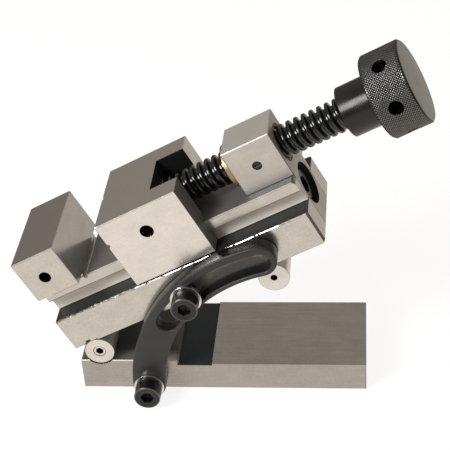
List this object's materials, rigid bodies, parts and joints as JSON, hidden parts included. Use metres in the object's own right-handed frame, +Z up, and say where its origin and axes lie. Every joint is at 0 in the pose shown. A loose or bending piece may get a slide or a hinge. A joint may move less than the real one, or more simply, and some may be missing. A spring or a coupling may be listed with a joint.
{
  "type": "sine vise",
  "caption": "Toolmaker sine vise: ground vise with a screw-driven jaw, hinged by a roller on a base plate and locked at an angle by a curved slotted arm.",
  "frame": {"origin": "centre of the underside of the base plate", "axes": "+X along the base towards the knob end, +Y from the arm side to the back, +Z up"},
  "size_m": [0.2012, 0.0678, 0.1777],
  "materials": {
    "ground_steel": "ground, with dark heat scale in the ledges",
    "roller_steel": "polished",
    "washer_steel": "plain",
    "black_steel": "black oxide",
    "black_arm": "satin black oxide",
    "knurled_black": "knurled black oxide",
    "bronze": "turned"
  },
  "bodies": {
    "base": {"base_plate": "ground_steel", "hinge_base_knuckle": "roller_steel", "hinge_foot_screws": "black_steel", "hinge_pin": "roller_steel", "arm_pivot_screw": "black_steel", "arm_pivot_washer": "washer_steel"},
    "arm": {"slotted_arm": "black_arm"},
    "vise": {"vise_body": "ground_steel", "hinge_front_knuckle": "roller_steel", "hinge_rear_knuckle": "roller_steel", "hinge_leaf_screws": "black_steel", "hinge_end_screws": "roller_steel", "sine_roller": "roller_steel", "sine_roller_screws": "black_steel", "nut_block": "ground_steel", "nut_block_bolt": "black_steel", "bronze_nut": "bronze", "nut_lock_screw": "black_steel", "arm_lock_screw": "black_steel", "arm_lock_washer": "washer_steel"},
    "jaw": {"movable_jaw": "ground_steel", "retaining_pins": "roller_steel"},
    "spindle": {"thrust_washer": "bronze", "lead_screw": "black_steel", "knob": "knurled_black"}
  },
  "joints": [
    {"name": "tilt", "type": "hinge", "parent": "base", "child": "vise", "pos_m": [-0.06105, 0, 0.0235], "axis": [0, -1, 0], "range_deg": [-27.1, 17.8]},
    {"name": "arm_swing", "type": "hinge", "parent": "base", "child": "arm", "pos_m": [-0.03625, 0, 0.0084], "axis": [0, -1, 0], "range_deg": [-31.4, 20.6]},
    {"name": "jaw_slide", "type": "slide", "parent": "vise", "child": "jaw", "axis": [0.8894, 0, 0.4571], "range_m": [-0.0242, 0.0339]},
    {"name": "screw_spin", "type": "hinge", "parent": "jaw", "child": "spindle", "pos_m": [0.06182, 0, 0.14387], "axis": [0.8894, 0, 0.4571], "range_deg": [-2175, 3047]}
  ],
  "couplings": [
    {"joint": "arm_swing", "follows": "tilt", "ratio": 1.1505},
    {"joint": "jaw_slide", "follows": "screw_spin", "m_per_rad": 0.00063662}
  ]
}
